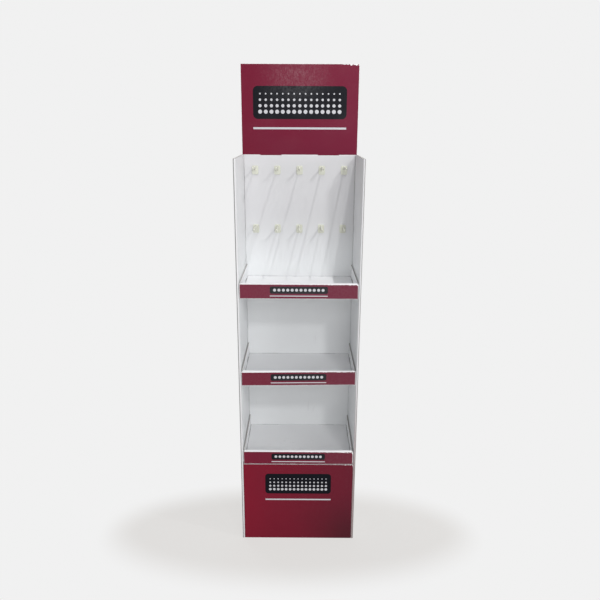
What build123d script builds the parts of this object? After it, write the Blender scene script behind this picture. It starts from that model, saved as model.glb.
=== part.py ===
from build123d import *
import os

# Slim floor stand folded from white card: a hook bay on top, three tray shelves and a plinth below.
# Millimetres, +Z up, front towards -Y, origin on the floor under the middle of the stand.

# Card stock, and the room left where one piece of card fits another
CARD = 3.2
FOLD_SHARE = 0.9            # outside radius of a crease, as a share of the card
TAB_CLEARANCE = 0.3         # around a tab in its slot
GLUE_GAP = 0.2              # between two glued faces
OVERRUN = 1.0               # how far a cut runs past the face that it opens

# Body: one sheet folded into a back panel and two side walls of two layers each
BODY_WIDTH = 400.0
BODY_DEPTH = 275.0          # front spine to the rear face of the back panel
LAYER_GAP = 0.8             # air between the two layers of a side wall
SPINE_SHARE = 0.44          # corner radius of the front spine, as a share of its width
LAYER_TAB_HEIGHT = 60.0     # tabs that lock the inner layer into the back panel

# Heights, stacked from the floor up: each one runs to the top face of a shelf's floor
LOWER_FLOOR_HEIGHT = 313.0
LOWER_BAY_HEIGHT = 300.0
MIDDLE_BAY_HEIGHT = 302.0
HOOK_BAY_HEIGHT = 430.0

# Header: a flat card whose two tabs drop into the hem on top of the back panel
HEADER_RISE = 292.0
HEADER_INSET = 2.5          # from the outside of the body to the header's side edge
HEADER_TAB_WIDTH = 73.0
HEADER_TAB_INSET = 62.0     # from the header's side edge to the near edge of a tab
HEADER_TAB_LENGTH = 34.0
HEADER_TAB_CORNER = 8.0
HEM_DROP = 40.0             # how far the hem hangs down behind the back panel
HEM_END_INSET = 8.0         # from the outside of the body to the end of the hem
HEM_NOTCH_DEPTH = 2.0       # shallow notch in the back panel's top edge, in front of each header tab

# Shelves: each one sheet folded into a floor, two side walls and a rolled front lip
SHELF_SIDE_GAP = 2.0        # between a shelf and the side wall of the body
SHELF_REAR_GAP = 0.5        # between a shelf and the back panel
LIP_RISE = 42.8             # top of the lip and side walls above the shelf's floor
LIP_RECESS = 1.5            # lip's front face behind the front spine
CORNER_TAB_LENGTH = 42.0    # side wall's tab, tucked into the hollow lip
TUCK_TAB_WIDTH = 56.0       # tabs of the rolled panel, locked into the floor
TUCK_TAB_INSET = 52.0
SIDE_TAB_LENGTH = 54.0      # tabs of the floor, resting in slots of the body's side walls
SIDE_TAB_INSET = 38.0
REAR_TAB_WIDTH = 60.0       # tabs of the floor, resting in slots of the back panel
REAR_TAB_INSET = 52.0

# Printed strip glued to the front of each lip
STRIP_THICKNESS = 0.8
STRIP_END_INSET = 1.0       # from the end of the lip to the end of the strip
STRIP_TOP_MARGIN = 2.9      # bare card above the strip
STRIP_OVERHANG = 4.1        # how far the strip hangs below the shelf
STRIP_LEANS = {"upper": 0.0, "middle": 0.7, "lower": 0.0}    # degrees, right end up: one is glued on askew

# Plinth front: one panel with a flange at each end, glued between the side walls
PLINTH_RECESS = 0.7
PLINTH_TOP_GAP = 2.0        # between the lowest strip and the panel's cut top edge
PLINTH_FLANGE_LENGTH = 46.0

# Display hooks: one-piece mouldings, pushed through slots in the back panel and turned to lock
HOOKS_PER_ROW = 5
HOOK_TOP_DROP = 52.0        # top of the body to the upper row
HOOK_ROW_PITCH = 204.0
HOOK_EDGE_INSET = 38.8      # from the side wall to the outermost hook
HOOK_PLATE_WIDTH = 22.0
HOOK_PLATE_HEIGHT = 30.0
HOOK_PLATE_THICKNESS = 2.4
HOOK_PLATE_CORNER = 5.0
HOOK_PLATE_EDGE = 0.7       # chamfer round the plate's front
HOOK_BAR_WIDTH = 5.0
HOOK_BAR_HEIGHT = 6.0
HOOK_BAR_EDGE = 1.3         # chamfer along the bar's corners
HOOK_BAR_LIFT = 9.0         # bar's root above the middle of the plate
HOOK_BAR_RUN = 100.0        # straight run of the bar, in plan
HOOK_BAR_RISE = 0.0         # how much the bar climbs on that run
HOOK_TIP_RUN = 7.0          # turned-up tip
HOOK_TIP_RISE = 6.0
HOOK_BEND_RADIUS = 9.0
HOOK_TIP_EDGE = 0.8         # chamfer round the tip's end
HOOK_WEB_THICKNESS = 2.2    # gusset under the bar's root
HOOK_WEB_LENGTH = 20.0
HOOK_WEB_HEIGHT = 11.0
HOOK_NECK_DIAMETER = 6.0
HOOK_LOCK_LENGTH = 18.0     # cross bar behind the back panel
HOOK_LOCK_WIDTH = 5.0
HOOK_LOCK_THICKNESS = 3.0
HOOK_LOCK_CORNER = 1.5      # chamfer of the cross bar's corners

# Places worked out from the sizes above
FOLD_RADIUS = FOLD_SHARE * CARD
HEM_GAP = CARD + 2 * TAB_CLEARANCE
HEM_THICKNESS = 2 * CARD + HEM_GAP
FRONT_Y = -(BODY_DEPTH + HEM_GAP + CARD) / 2
BACK_OUTER_Y = FRONT_Y + BODY_DEPTH
BACK_INNER_Y = BACK_OUTER_Y - CARD
HEM_OUTER_Y = BACK_INNER_Y + HEM_THICKNESS
OUTER_X = BODY_WIDTH / 2
LAYER_X = OUTER_X - CARD - LAYER_GAP      # outer face of a side wall's inner layer
BAY_X = LAYER_X - CARD                    # face of the side wall inside the bays
LAYER_END_Y = BACK_INNER_Y - TAB_CLEARANCE
UPPER_FLOOR_HEIGHT = LOWER_FLOOR_HEIGHT + LOWER_BAY_HEIGHT + MIDDLE_BAY_HEIGHT
MIDDLE_FLOOR_HEIGHT = LOWER_FLOOR_HEIGHT + LOWER_BAY_HEIGHT
BODY_HEIGHT = UPPER_FLOOR_HEIGHT + HOOK_BAY_HEIGHT
SHELF_FLOORS = {"upper": UPPER_FLOOR_HEIGHT, "middle": MIDDLE_FLOOR_HEIGHT, "lower": LOWER_FLOOR_HEIGHT}
SHELF_X = BAY_X - SHELF_SIDE_GAP
SHELF_REAR_Y = BACK_INNER_Y - SHELF_REAR_GAP
LIP_FRONT_Y = FRONT_Y + LIP_RECESS
WALL_FRONT_Y = LIP_FRONT_Y + CARD + TAB_CLEARANCE    # front end of a shelf's side wall
ROLL_FRONT_Y = WALL_FRONT_Y + CARD + TAB_CLEARANCE   # front face of the panel rolled over the lip
ROLL_BACK_Y = ROLL_FRONT_Y + CARD
ROLL_X = SHELF_X - CARD - TAB_CLEARANCE
HOOK_ROWS = {"top": BODY_HEIGHT - HOOK_TOP_DROP, "low": BODY_HEIGHT - HOOK_TOP_DROP - HOOK_ROW_PITCH}
HOOK_PITCH = 2 * (BAY_X - HOOK_EDGE_INSET) / (HOOKS_PER_ROW - 1)
HOOK_PLACES = [(index - (HOOKS_PER_ROW - 1) / 2) * HOOK_PITCH for index in range(HOOKS_PER_ROW)]


def block(x, y, z):
    """Box between the two values given on each axis."""
    size = [high - low for low, high in (x, y, z)]
    middle = [(low + high) / 2 for low, high in (x, y, z)]
    return Pos(*middle) * Box(*size)


def widened(span, room):
    """A span of two values with the same room added at both ends."""
    return span[0] - room, span[1] + room


def outline(corners):
    """Closed face through (a, b, radius) corners: a crease has a radius, a cut corner has none."""
    points = [(a, b) for a, b, _ in corners]
    radii = [radius for _, _, radius in corners]
    return make_face(FilletPolyline(*points, radius=radii, close=True).edges())


def both_sides(span):
    """A span on the right of the middle plane and its mirror on the left."""
    low, high = sorted(span)
    return [(low, high), (-high, -low)]


def inset_spans(ends, inset, length):
    """Two spans of one length, set in from the two ends of a run."""
    low, high = ends
    return [(low + inset, low + inset + length), (high - inset - length, high - inset)]


# Spans that two pieces share: tabs and the slots that they sit in
HEADER_X = OUTER_X - HEADER_INSET
HEADER_TABS = both_sides((HEADER_X - HEADER_TAB_INSET - HEADER_TAB_WIDTH, HEADER_X - HEADER_TAB_INSET))
REAR_TABS = both_sides((SHELF_X - REAR_TAB_INSET - REAR_TAB_WIDTH, SHELF_X - REAR_TAB_INSET))
TUCK_TABS = both_sides((SHELF_X - TUCK_TAB_INSET - TUCK_TAB_WIDTH, SHELF_X - TUCK_TAB_INSET))
SIDE_TABS = inset_spans((WALL_FRONT_Y, SHELF_REAR_Y), SIDE_TAB_INSET, SIDE_TAB_LENGTH)
HOOK_SLOT_LENGTH = HOOK_LOCK_LENGTH + 2 * TAB_CLEARANCE
HOOK_SLOT_WIDTH = max(HOOK_LOCK_WIDTH, HOOK_NECK_DIAMETER) + 2 * TAB_CLEARANCE


def body_plan():
    """Plan of the folded sheet: back panel, outer layers, front spines and inner layers."""
    spine_radius = SPINE_SHARE * (2 * CARD + LAYER_GAP)
    right = [
        (OUTER_X, BACK_OUTER_Y, FOLD_RADIUS),
        (OUTER_X, FRONT_Y, spine_radius),
        (BAY_X, FRONT_Y, spine_radius),
        (BAY_X, LAYER_END_Y, 0),
        (LAYER_X, LAYER_END_Y, 0),
        (LAYER_X, FRONT_Y + CARD, 0),
        (OUTER_X - CARD, FRONT_Y + CARD, 0),
        (OUTER_X - CARD, BACK_INNER_Y, 0),
    ]
    left = [(-x, y, radius) for x, y, radius in reversed(right)]
    return outline(right + left)


def hem_section():
    """Section of the hem: the back panel's top, folded over and hanging down behind it."""
    root = BODY_HEIGHT - HEM_THICKNESS
    hem_foot = BODY_HEIGHT - HEM_DROP
    return outline([
        (BACK_INNER_Y, root, 0),
        (BACK_INNER_Y, BODY_HEIGHT, FOLD_RADIUS),
        (HEM_OUTER_Y, BODY_HEIGHT, FOLD_RADIUS),
        (HEM_OUTER_Y, hem_foot, 0),
        (HEM_OUTER_Y - CARD, hem_foot, 0),
        (HEM_OUTER_Y - CARD, BODY_HEIGHT - CARD, 0),
        (BACK_OUTER_Y, BODY_HEIGHT - CARD, 0),
        (BACK_OUTER_Y, root, 0),
    ])


def body_wrap():
    """The one sheet that makes the back panel, the two side walls and the hem, with all its slots."""
    body = extrude(body_plan(), amount=BODY_HEIGHT)
    panel = (BACK_INNER_Y, BACK_OUTER_Y)
    through_panel = widened(panel, OVERRUN)
    hem_x = OUTER_X - HEM_END_INSET
    above = BODY_HEIGHT + OVERRUN
    body -= block((-hem_x, hem_x), panel, (BODY_HEIGHT - HEM_THICKNESS, above))
    body += extrude(Plane.YZ * hem_section(), amount=hem_x, both=True)

    slots = []
    through_hem = (BODY_HEIGHT - CARD - OVERRUN, above)
    notch_z = (BODY_HEIGHT - HEM_NOTCH_DEPTH, above)
    for tab in HEADER_TABS:
        tab_x = widened(tab, TAB_CLEARANCE)
        slots.append(block(tab_x, (BACK_OUTER_Y, HEM_OUTER_Y - CARD), through_hem))
        slots.append(block(tab_x, (BACK_INNER_Y - OVERRUN, BACK_OUTER_Y), notch_z))
    for floor in SHELF_FLOORS.values():
        slot_z = widened((floor - CARD, floor), TAB_CLEARANCE)
        for tab in REAR_TABS:
            slots.append(block(widened(tab, TAB_CLEARANCE), through_panel, slot_z))
        for layer in both_sides((BAY_X - OVERRUN, LAYER_X + LAYER_GAP / 2)):
            for tab in SIDE_TABS:
                slots.append(block(layer, widened(tab, TAB_CLEARANCE), slot_z))

    tabs = []
    levels = [0, *sorted(SHELF_FLOORS.values()), BODY_HEIGHT]
    for low, high in zip(levels, levels[1:]):
        middle = (low + high) / 2
        tab_z = (middle - LAYER_TAB_HEIGHT / 2, middle + LAYER_TAB_HEIGHT / 2)
        for layer in both_sides((BAY_X, LAYER_X)):
            slot_y = (LAYER_END_Y, BACK_OUTER_Y + OVERRUN)
            slots.append(block(widened(layer, TAB_CLEARANCE), slot_y, widened(tab_z, TAB_CLEARANCE)))
            tabs.append(block(layer, (LAYER_END_Y, BACK_OUTER_Y), tab_z))

    for row in HOOK_ROWS.values():
        slot_z = widened((row, row), HOOK_SLOT_WIDTH / 2)
        for place in HOOK_PLACES:
            slots.append(block(widened((place, place), HOOK_SLOT_LENGTH / 2), through_panel, slot_z))
    body -= slots
    body += tabs
    return body


def header_card():
    """Flat card standing on the hem, with two tabs that hang between its folds."""
    top = BODY_HEIGHT + HEADER_RISE
    face = outline([
        (-HEADER_X, BODY_HEIGHT, 0),
        (HEADER_X, BODY_HEIGHT, 0),
        (HEADER_X, top, 0),
        (-HEADER_X, top, 0),
    ])
    foot = BODY_HEIGHT - HEADER_TAB_LENGTH
    for low, high in HEADER_TABS:
        face += outline([
            (low, foot, HEADER_TAB_CORNER),
            (high, foot, HEADER_TAB_CORNER),
            (high, BODY_HEIGHT, 0),
            (low, BODY_HEIGHT, 0),
        ])
    rear = BACK_OUTER_Y + TAB_CLEARANCE + CARD
    return Pos(0, rear, 0) * extrude(Plane.XZ * face, amount=CARD)


def shelf(floor):
    """One folded tray: floor, side walls and hollow rolled lip, with its tucked and locking tabs."""
    under = floor - CARD
    top = floor + LIP_RISE
    roll_foot = floor + TAB_CLEARANCE
    trough = outline([
        (-SHELF_X, top, 0),
        (-SHELF_X, under, FOLD_RADIUS),
        (SHELF_X, under, FOLD_RADIUS),
        (SHELF_X, top, 0),
        (SHELF_X - CARD, top, 0),
        (SHELF_X - CARD, floor, 0),
        (CARD - SHELF_X, floor, 0),
        (CARD - SHELF_X, top, 0),
    ])
    tray = Pos(0, WALL_FRONT_Y, 0) * extrude(Plane.XZ * trough, amount=WALL_FRONT_Y - SHELF_REAR_Y)

    lip_front = outline([
        (LIP_FRONT_Y, under, FOLD_RADIUS),
        (WALL_FRONT_Y, under, 0),
        (WALL_FRONT_Y, floor, 0),
        (LIP_FRONT_Y + CARD, floor, 0),
        (LIP_FRONT_Y + CARD, top - FOLD_RADIUS, 0),
        (LIP_FRONT_Y, top - FOLD_RADIUS, 0),
    ])
    tray += extrude(Plane.YZ * lip_front, amount=SHELF_X, both=True)

    slots = [widened(tab, TAB_CLEARANCE) for tab in TUCK_TABS]
    slot_y = widened((ROLL_FRONT_Y, ROLL_BACK_Y), TAB_CLEARANCE)
    for slot in slots:
        tray -= block(slot, slot_y, widened((under, floor), OVERRUN))
    lip_roll = outline([
        (LIP_FRONT_Y, floor, 0),
        (LIP_FRONT_Y, top, FOLD_RADIUS),
        (ROLL_BACK_Y, top, FOLD_RADIUS),
        (ROLL_BACK_Y, roll_foot, 0),
        (ROLL_FRONT_Y, roll_foot, 0),
        (ROLL_FRONT_Y, top - CARD, 0),
        (LIP_FRONT_Y + CARD, top - CARD, 0),
        (LIP_FRONT_Y + CARD, floor, 0),
    ])
    tray += extrude(Plane.YZ * lip_roll, amount=ROLL_X, both=True)
    for tab in TUCK_TABS:
        tray += block(tab, (ROLL_FRONT_Y, ROLL_BACK_Y), (under, roll_foot))

    corner_z = (floor + TAB_CLEARANCE, top - CARD - TAB_CLEARANCE)
    for corner in both_sides((SHELF_X - CORNER_TAB_LENGTH, SHELF_X - CARD)):
        tray += block(corner, (WALL_FRONT_Y, WALL_FRONT_Y + CARD), corner_z)

    window_top = floor + LAYER_X - SHELF_X
    for tab in SIDE_TABS:
        for wall in both_sides((SHELF_X - CARD, SHELF_X + OVERRUN)):
            tray -= block(wall, widened(tab, TAB_CLEARANCE), (under - OVERRUN, window_top))
        for reach in both_sides((SHELF_X - CARD, LAYER_X)):
            tray += block(reach, tab, (under, floor))
    for tab in REAR_TABS:
        tray += block(tab, (SHELF_REAR_Y, BACK_OUTER_Y), (under, floor))
    return tray


def lip_strip(floor, lean):
    """Thin printed strip on the front of a shelf's lip, turned about its middle by its lean."""
    foot, top = floor - CARD - STRIP_OVERHANG, floor + LIP_RISE - STRIP_TOP_MARGIN
    strip = Box(2 * (SHELF_X - STRIP_END_INSET), STRIP_THICKNESS, top - foot)
    return Pos(0, LIP_FRONT_Y - STRIP_THICKNESS / 2, (foot + top) / 2) * Rot(0, -lean, 0) * strip


def base_front():
    """Plinth front, folded at both ends into a flange along the side wall."""
    front = FRONT_Y + PLINTH_RECESS
    rear = front + PLINTH_FLANGE_LENGTH
    panel_x = BAY_X - GLUE_GAP
    plan = outline([
        (-panel_x, rear, 0),
        (-panel_x, front, FOLD_RADIUS),
        (panel_x, front, FOLD_RADIUS),
        (panel_x, rear, 0),
        (panel_x - CARD, rear, 0),
        (panel_x - CARD, front + CARD, 0),
        (CARD - panel_x, front + CARD, 0),
        (CARD - panel_x, rear, 0),
    ])
    return extrude(plan, amount=LOWER_FLOOR_HEIGHT - CARD - STRIP_OVERHANG - PLINTH_TOP_GAP)


def display_hook():
    """One moulded hook, its plate seated at the origin and its bar pointing to -Y."""
    plate_face = RectangleRounded(HOOK_PLATE_WIDTH, HOOK_PLATE_HEIGHT, HOOK_PLATE_CORNER)
    plate = extrude(Plane.XZ * plate_face, amount=HOOK_PLATE_THICKNESS)
    plate = chamfer(plate.faces().sort_by(Axis.Y)[0].edges(), HOOK_PLATE_EDGE)

    root = -HOOK_PLATE_THICKNESS / 2
    bend_y = -HOOK_PLATE_THICKNESS - HOOK_BAR_RUN
    bend_z = HOOK_BAR_LIFT + HOOK_BAR_RISE
    route = FilletPolyline(
        (0, root, HOOK_BAR_LIFT),
        (0, bend_y, bend_z),
        (0, bend_y - HOOK_TIP_RUN, bend_z + HOOK_TIP_RISE),
        radius=HOOK_BEND_RADIUS,
    )
    start = Plane(origin=route @ 0, x_dir=(1, 0, 0), z_dir=route % 0)
    section = chamfer(Rectangle(HOOK_BAR_WIDTH, HOOK_BAR_HEIGHT).vertices(), HOOK_BAR_EDGE)
    bar = sweep(start * section, path=route)
    tip = bar.faces().sort_by(Axis(route @ 1, route % 1))[-1]
    bar = chamfer(tip.edges(), HOOK_TIP_EDGE)

    web_root = -HOOK_PLATE_THICKNESS
    climb = HOOK_BAR_RISE * HOOK_WEB_LENGTH / HOOK_BAR_RUN
    web = outline([
        (web_root, HOOK_BAR_LIFT, 0),
        (web_root - HOOK_WEB_LENGTH, HOOK_BAR_LIFT + climb, 0),
        (web_root, HOOK_BAR_LIFT - HOOK_WEB_HEIGHT, 0),
    ])
    web = extrude(Plane.YZ * web, amount=HOOK_WEB_THICKNESS / 2, both=True)

    lock_front = CARD + GLUE_GAP
    neck = extrude(Plane.XZ * Circle(HOOK_NECK_DIAMETER / 2), amount=-lock_front)
    lock_face = chamfer(Rectangle(HOOK_LOCK_WIDTH, HOOK_LOCK_LENGTH).vertices(), HOOK_LOCK_CORNER)
    lock = Pos(0, lock_front, 0) * extrude(Plane.XZ * lock_face, amount=-HOOK_LOCK_THICKNESS)
    return plate + bar + web + neck + lock


def build():
    """Every piece of the stand by the name of its node."""
    pieces = {"body_wrap": body_wrap(), "header_card": header_card(), "base_front": base_front()}
    for name, floor in SHELF_FLOORS.items():
        pieces[f"{name}_shelf"] = shelf(floor)
        pieces[f"{name}_strip"] = lip_strip(floor, STRIP_LEANS[name])
    hook = display_hook()
    for name, row in HOOK_ROWS.items():
        for index, place in enumerate(HOOK_PLACES, start=1):
            pieces[f"{name}_hook_{index}"] = Pos(place, BACK_INNER_Y, row) * hook
    return pieces


os.makedirs("parts", exist_ok=True)
for node, piece in build().items():
    export_step(piece, f"parts/{node}.step")
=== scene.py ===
"""Looks of a slim floor stand folded from white card: header, hook bay, three tray shelves and plinth.

Metres, +Z up, the open front towards -Y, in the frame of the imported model.
"""

import logging
import math
from dataclasses import dataclass, replace
from enum import Enum
from functools import cached_property
from typing import Any, Mapping, NamedTuple, Sequence, Union

import bpy
import numpy as np
from mathutils import Matrix, Vector


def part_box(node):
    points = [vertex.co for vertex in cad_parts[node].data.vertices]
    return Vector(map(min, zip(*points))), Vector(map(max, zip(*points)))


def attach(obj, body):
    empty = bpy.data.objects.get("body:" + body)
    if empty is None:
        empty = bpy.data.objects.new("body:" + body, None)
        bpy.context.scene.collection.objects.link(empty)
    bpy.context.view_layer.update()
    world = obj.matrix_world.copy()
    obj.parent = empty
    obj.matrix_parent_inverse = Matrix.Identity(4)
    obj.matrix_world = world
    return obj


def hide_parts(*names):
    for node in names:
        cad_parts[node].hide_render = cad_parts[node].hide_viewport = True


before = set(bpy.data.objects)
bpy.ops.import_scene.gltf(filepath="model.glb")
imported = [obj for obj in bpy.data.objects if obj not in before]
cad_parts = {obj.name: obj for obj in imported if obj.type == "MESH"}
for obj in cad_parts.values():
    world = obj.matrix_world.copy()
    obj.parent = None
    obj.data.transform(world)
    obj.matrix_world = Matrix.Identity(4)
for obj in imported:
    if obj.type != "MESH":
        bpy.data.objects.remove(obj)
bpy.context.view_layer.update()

LOG = logging.getLogger("display_stand")
BODY = "root"
Colour = tuple[float, float, float]
Place = tuple[float, float, float]
TURN = 2 * math.pi
EVEN: Place = (1.0, 1.0, 1.0)

# Sizes that several pieces share
CARD = 0.0032
FOLD_SHARE = 0.9
FOLD_RADIUS = FOLD_SHARE * CARD
TAB_CLEARANCE = 0.0003
GLUE_GAP = 0.0002
LAYER_GAP = 0.0008
SHELF_SIDE_GAP = 0.002
BODY_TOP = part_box("body_wrap")[1]
BAY_X = BODY_TOP.x - 2 * CARD - LAYER_GAP
PANEL_Y = BODY_TOP.y - 3 * CARD - 2 * TAB_CLEARANCE
SHELF_X = BAY_X - SHELF_SIDE_GAP

# A face counts as turned along an axis where that part of its direction passes this share
TURNED_SHARE = 0.7
TURNED_SOFT = 0.05

# Sockets of a Mix node that mixes colours, whose names are not its own
MIX_SHARE = 0
MIX_FIRST = 6
MIX_SECOND = 7
MIX_COLOUR = 2


class Level(Enum):
    """The three shelves, by the first word in their nodes' names."""

    UPPER = "upper"
    MIDDLE = "middle"
    LOWER = "lower"


class Row(Enum):
    """The two rows of hooks, by the first word in their nodes' names."""

    TOP = "top"
    LOW = "low"


class Value:
    """One shader value: an output socket whose arithmetic adds Math nodes to its graph."""

    def __init__(self, graph: "Graph", socket: bpy.types.NodeSocket) -> None:
        """Keeps the socket and the graph that new nodes go into."""
        self.graph = graph
        self.socket = socket

    def __add__(self, other: "Number") -> "Value":
        """Sum."""
        return self.graph.math("ADD", self, other)

    __radd__ = __add__

    def __sub__(self, other: "Number") -> "Value":
        """Difference."""
        return self.graph.math("SUBTRACT", self, other)

    def __rsub__(self, other: "Number") -> "Value":
        """Difference with the number on the left."""
        return self.graph.math("SUBTRACT", other, self)

    def __mul__(self, other: "Number") -> "Value":
        """Product."""
        return self.graph.math("MULTIPLY", self, other)

    __rmul__ = __mul__

    def __truediv__(self, other: "Number") -> "Value":
        """Quotient."""
        return self.graph.math("DIVIDE", self, other)

    def __rtruediv__(self, other: "Number") -> "Value":
        """Quotient with the number on the left."""
        return self.graph.math("DIVIDE", other, self)

    def __pow__(self, other: "Number") -> "Value":
        """Power."""
        return self.graph.math("POWER", self, other)

    def __neg__(self) -> "Value":
        """Value with the other sign."""
        return self.graph.math("MULTIPLY", self, -1.0)

    def __abs__(self) -> "Value":
        """Size without sign."""
        return self.graph.math("ABSOLUTE", self)

    def least(self, other: "Number") -> "Value":
        """The smaller of two values."""
        return self.graph.math("MINIMUM", self, other)

    def most(self, other: "Number") -> "Value":
        """The larger of two values."""
        return self.graph.math("MAXIMUM", self, other)

    def sine(self) -> "Value":
        """Sine of an angle in radians."""
        return self.graph.math("SINE", self)

    def whole(self) -> "Value":
        """Whole number at or below the value."""
        return self.graph.math("FLOOR", self)

    def part(self) -> "Value":
        """What is left above the whole number."""
        return self.graph.math("FRACT", self)

    def hypot(self, other: "Value") -> "Value":
        """Length of the vector that has this value and another one as its parts."""
        return (self ** 2.0 + other ** 2.0) ** 0.5

    def towards(self, other: "Number", share: "Number") -> "Value":
        """Value that moves to another one by a share."""
        return self + (other - self) * share

    def step(self, edge: float, soft: float, start: float, end: float) -> "Value":
        """Smooth step between two values.

        Args:
            edge: middle of the band where it steps.
            soft: width of the band.
            start: result below the band.
            end: result above the band.

        Returns:
            The step.
        """
        band = {"Value": self, "From Min": edge - soft / 2, "From Max": edge + soft / 2}
        ends = {"To Min": start, "To Max": end}
        return self.graph.value("ShaderNodeMapRange", {"interpolation_type": "SMOOTHSTEP"}, {**band, **ends})

    def above(self, edge: float, soft: float) -> "Value":
        """Mask that rises from 0 to 1 over a soft band round an edge."""
        return self.step(edge, soft, 0.0, 1.0)

    def below(self, edge: float, soft: float) -> "Value":
        """Mask that falls from 1 to 0 over a soft band round an edge."""
        return self.step(edge, soft, 1.0, 0.0)

    def turned(self) -> "Value":
        """Mask of the faces turned along an axis, from that part of their direction."""
        return self.above(TURNED_SHARE, TURNED_SOFT)


Number = Union[float, Value]


class Point(NamedTuple):
    """The three parts of a place or a direction on a surface."""

    x: Value
    y: Value
    z: Value


class Graph:
    """Node tree of one material or world, and the one place where its nodes are made."""

    def __init__(self, owner: Union[bpy.types.Material, bpy.types.World]) -> None:
        """Clears the owner's tree, ready for new nodes.

        Args:
            owner: material or world that the graph belongs to.
        """
        owner.use_nodes = True
        self.owner = owner
        self.tree = owner.node_tree
        self.tree.nodes.clear()

    @classmethod
    def material(cls, name: str) -> "Graph":
        """An empty graph for a new material of that name."""
        return cls(bpy.data.materials.new(name))

    def add(self, kind: str, settings: Mapping[str, Any], inputs: Mapping[Any, Any]) -> bpy.types.Node:
        """Makes one node: its settings first, then the values or links of its sockets.

        Args:
            kind: Blender's name of the node's type.
            settings: properties of the node.
            inputs: socket names or numbers, with a Value to link or a constant to set.

        Returns:
            The node.
        """
        node = self.tree.nodes.new(kind)
        for key, setting in settings.items():
            setattr(node, key, setting)
        for key, term in inputs.items():
            socket = node.inputs[key]
            if isinstance(term, Value):
                self.tree.links.new(term.socket, socket)
            elif socket.type == "RGBA":
                socket.default_value = (*term, 1.0)
            else:
                socket.default_value = term
        return node

    def value(
        self, kind: str, settings: Mapping[str, Any], inputs: Mapping[Any, Any], out: Union[int, str] = 0
    ) -> Value:
        """Makes one node and gives one of its outputs, by name or number."""
        return Value(self, self.add(kind, settings, inputs).outputs[out])

    def math(self, operation: str, *terms: Number) -> Value:
        """One Math node on up to three terms."""
        return self.value("ShaderNodeMath", {"operation": operation}, dict(enumerate(terms)))

    def mix(self, share: Number, first: Any, second: Any) -> Value:
        """Colour between two colours, where a share of 0 gives the first and 1 the second."""
        inputs = {MIX_SHARE: share, MIX_FIRST: first, MIX_SECOND: second}
        return self.value("ShaderNodeMix", {"data_type": "RGBA"}, inputs, MIX_COLOUR)

    def split(self, vector: Value) -> Point:
        """The three parts of a vector."""
        node = self.add("ShaderNodeSeparateXYZ", {}, {"Vector": vector})
        return Point(*(Value(self, socket) for socket in node.outputs))

    @cached_property
    def spot(self) -> Value:
        """Where the surface is, in metres, in the part's frame, as one vector."""
        return self.value("ShaderNodeTexCoord", {}, {}, "Object")

    @cached_property
    def at(self) -> Point:
        """Where the surface is, in its three parts."""
        return self.split(self.spot)

    @cached_property
    def facing(self) -> Point:
        """Which way the surface faces, in the part's frame."""
        return self.split(self.value("ShaderNodeTexCoord", {}, {}, "Normal"))

    def finish(self, sockets: Mapping[str, Any], height: Value) -> bpy.types.Material:
        """Closes the material with a Principled shader on a surface with relief.

        Args:
            sockets: values or links of the shader.
            height: relief in metres.

        Returns:
            The material.
        """
        relief = self.value("ShaderNodeBump", {}, {"Strength": 1.0, "Distance": 1.0, "Height": height})
        shader = self.value("ShaderNodeBsdfPrincipled", {}, {**sockets, "Normal": relief})
        self.add("ShaderNodeOutputMaterial", {}, {"Surface": shader})
        return self.owner


@dataclass(frozen=True)
class Mottle:
    """Smooth noise on a surface: cells in a metre, octaves, stretch and shift, and the band of its mask."""

    scale: float
    detail: float = 2.0
    stretch: Place = EVEN
    shift: float = 0.0
    edge: float = 0.5
    soft: float = 1.0
    share: float = 1.0

    def noise(self, graph: Graph) -> Value:
        """The plain noise, from 0 to 1, on Object coordinates.

        Args:
            graph: graph of the material.

        Returns:
            The noise.
        """
        moved = {"Vector": graph.spot, "Scale": self.stretch, "Location": (self.shift,) * 3}
        spot = graph.value("ShaderNodeMapping", {}, moved)
        inputs = {"Vector": spot, "Scale": self.scale, "Detail": self.detail}
        return graph.value("ShaderNodeTexNoise", {}, inputs)

    def level(self, graph: Graph) -> Value:
        """The noise, from 0 to its share."""
        return self.noise(graph) * self.share

    def mask(self, graph: Graph) -> Value:
        """Where the noise passes its edge, from 0 to its share."""
        return self.noise(graph).above(self.edge, self.soft) * self.share


def spread(mask: Value, width: float) -> Value:
    """Factor round 1 that follows a mask over a given width."""
    return 1.0 - width / 2 + width * mask


def placed(name: str, data: bpy.types.ID) -> bpy.types.Object:
    """Puts a new object into the scene, at the origin.

    Args:
        name: name of the object.
        data: its mesh, light or camera.

    Returns:
        The object.
    """
    item = bpy.data.objects.new(name, data)
    bpy.context.scene.collection.objects.link(item)
    return item


def dress(node: str, material: bpy.types.Material) -> None:
    """Gives a CAD node its material.

    Args:
        node: name of the node.
        material: finish for all its faces.
    """
    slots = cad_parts[node].data.materials
    slots.clear()
    slots.append(material)
    LOG.info("dressed %s with %s", node, material.name)


@dataclass(frozen=True)
class Finish:
    """What every finish has: how it reflects, and a gloss that is a little uneven."""

    specular: float
    roughness: float
    gloss: Mottle

    def rough(self, graph: Graph) -> Value:
        """Roughness over the surface."""
        return self.roughness + self.gloss.level(graph)

    def sockets(self, colour: Value, rough: Value) -> dict[str, Any]:
        """Shader values of a plain face."""
        return {"Base Color": colour, "Roughness": rough, "Specular IOR Level": self.specular}


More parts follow.
